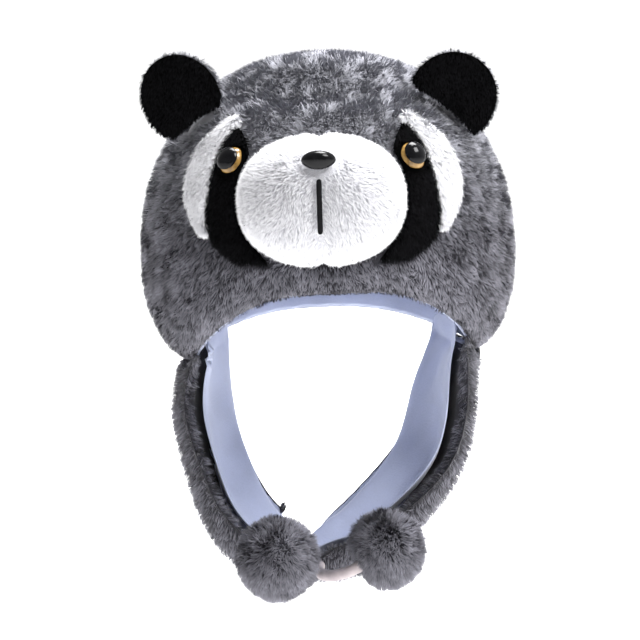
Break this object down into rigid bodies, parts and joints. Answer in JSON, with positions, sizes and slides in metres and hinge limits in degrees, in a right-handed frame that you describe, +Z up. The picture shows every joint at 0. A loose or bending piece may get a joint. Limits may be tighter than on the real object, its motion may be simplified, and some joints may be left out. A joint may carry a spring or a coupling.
{
  "type": "animal earflap hat",
  "caption": "Plush winter hat in the form of a furry animal's head, with round ears, a stuffed muzzle, lined earflaps that meet under the chin, and fur pompoms.",
  "frame": {"origin": "where the top of the wearer's head touches the lining, on the hat's upright middle line", "axes": "+Z up, the face looks along -Y, +X is on the right of someone who looks at the face"},
  "size_m": [0.211, 0.2534, 0.2955],
  "materials": {
    "grey_fur": "mottled short plush",
    "black_fur": "short plush",
    "white_fur": "fluffy plush",
    "white_lining": "brushed",
    "amber_plastic": "gloss",
    "black_plastic": "gloss",
    "pale_cord": "matt"
  },
  "bodies": {
    "root": {"crown_fur": "grey_fur", "crown_lining": "white_lining", "flap_left": "grey_fur", "flap_right": "grey_fur", "flap_lining_left": "white_lining", "flap_lining_right": "white_lining", "ear_front_left": "black_fur", "ear_front_right": "black_fur", "ear_back_left": "grey_fur", "ear_back_right": "grey_fur", "muzzle": "white_fur", "nose": "black_plastic", "mouth_stitch": "black_fur", "eye_patch_left": "black_fur", "eye_patch_right": "black_fur", "brow_stripe_left": "white_fur", "brow_stripe_right": "white_fur", "eye_iris_left": "amber_plastic", "eye_iris_right": "amber_plastic", "eye_pupil_left": "black_plastic", "eye_pupil_right": "black_plastic", "pompom_left": "grey_fur", "pompom_right": "grey_fur", "pompom_cord_left": "pale_cord", "pompom_cord_right": "pale_cord"}
  },
  "joints": []
}
